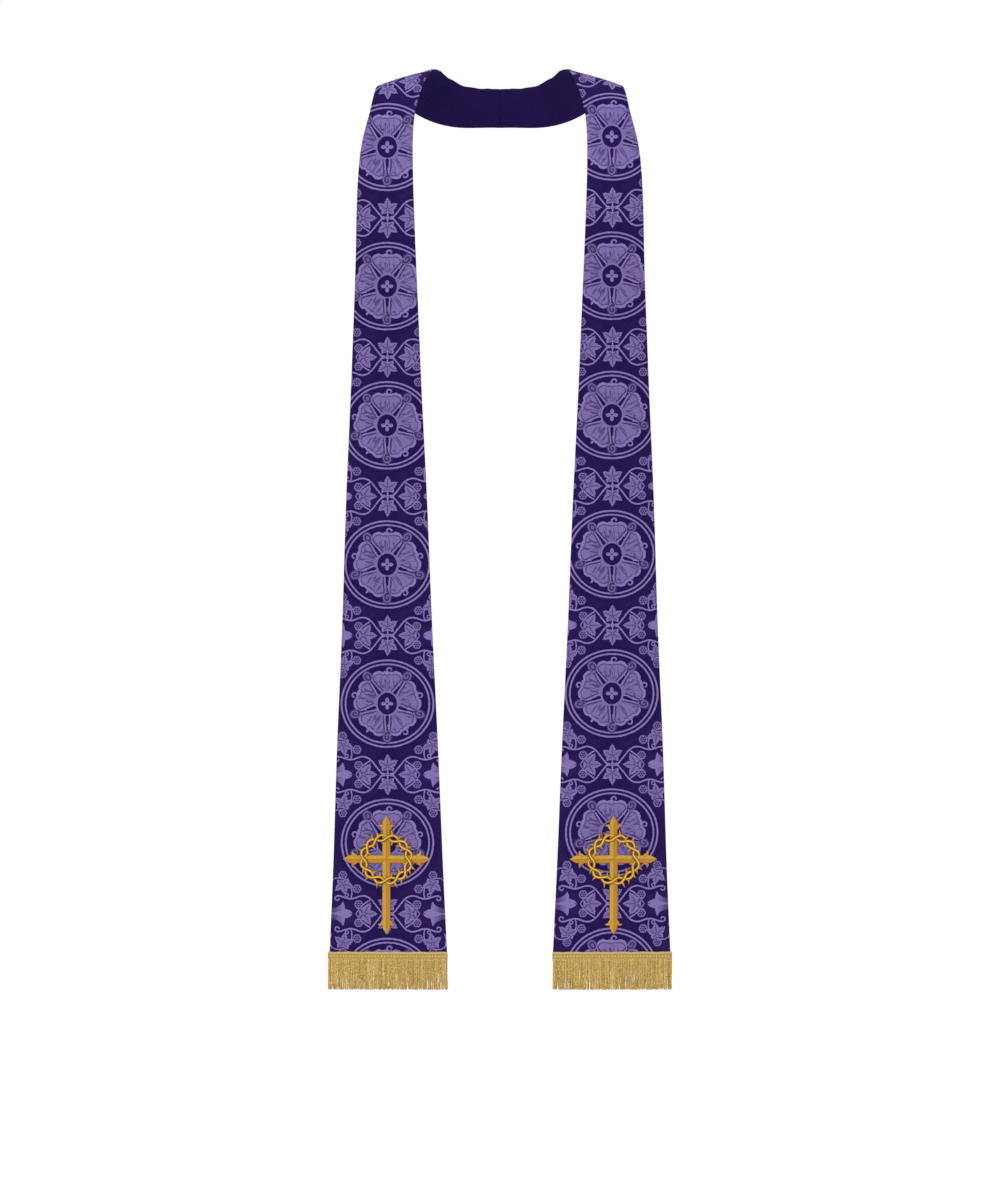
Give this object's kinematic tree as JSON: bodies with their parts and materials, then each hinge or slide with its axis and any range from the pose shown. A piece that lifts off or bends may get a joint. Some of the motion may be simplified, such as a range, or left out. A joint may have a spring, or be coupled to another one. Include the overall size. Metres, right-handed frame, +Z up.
{
  "type": "clerical stole",
  "caption": "Clerical stole in purple brocade, worn round a neck, with a gold cross and crown of thorns and a gold fringe on each hanging front.",
  "frame": {"origin": "midway between the two shoulder ridges that carry the cloth, on the wearer's centre plane", "axes": "+Z up, -Y to the front of the wearer, +X to the wearer's left, which is the viewer's right"},
  "size_m": [0.4378, 0.2011, 1.1718],
  "materials": {
    "brocade": "satin brocade, light purple figure on dark indigo",
    "gold_thread": "satin stitch in gold thread",
    "gold_fringe": "twisted metallic gold thread"
  },
  "bodies": {
    "root": {"half_left": "brocade", "half_right": "brocade", "cross_left": "gold_thread", "cross_right": "gold_thread", "fringe_left": "gold_fringe", "fringe_right": "gold_fringe"}
  },
  "joints": []
}
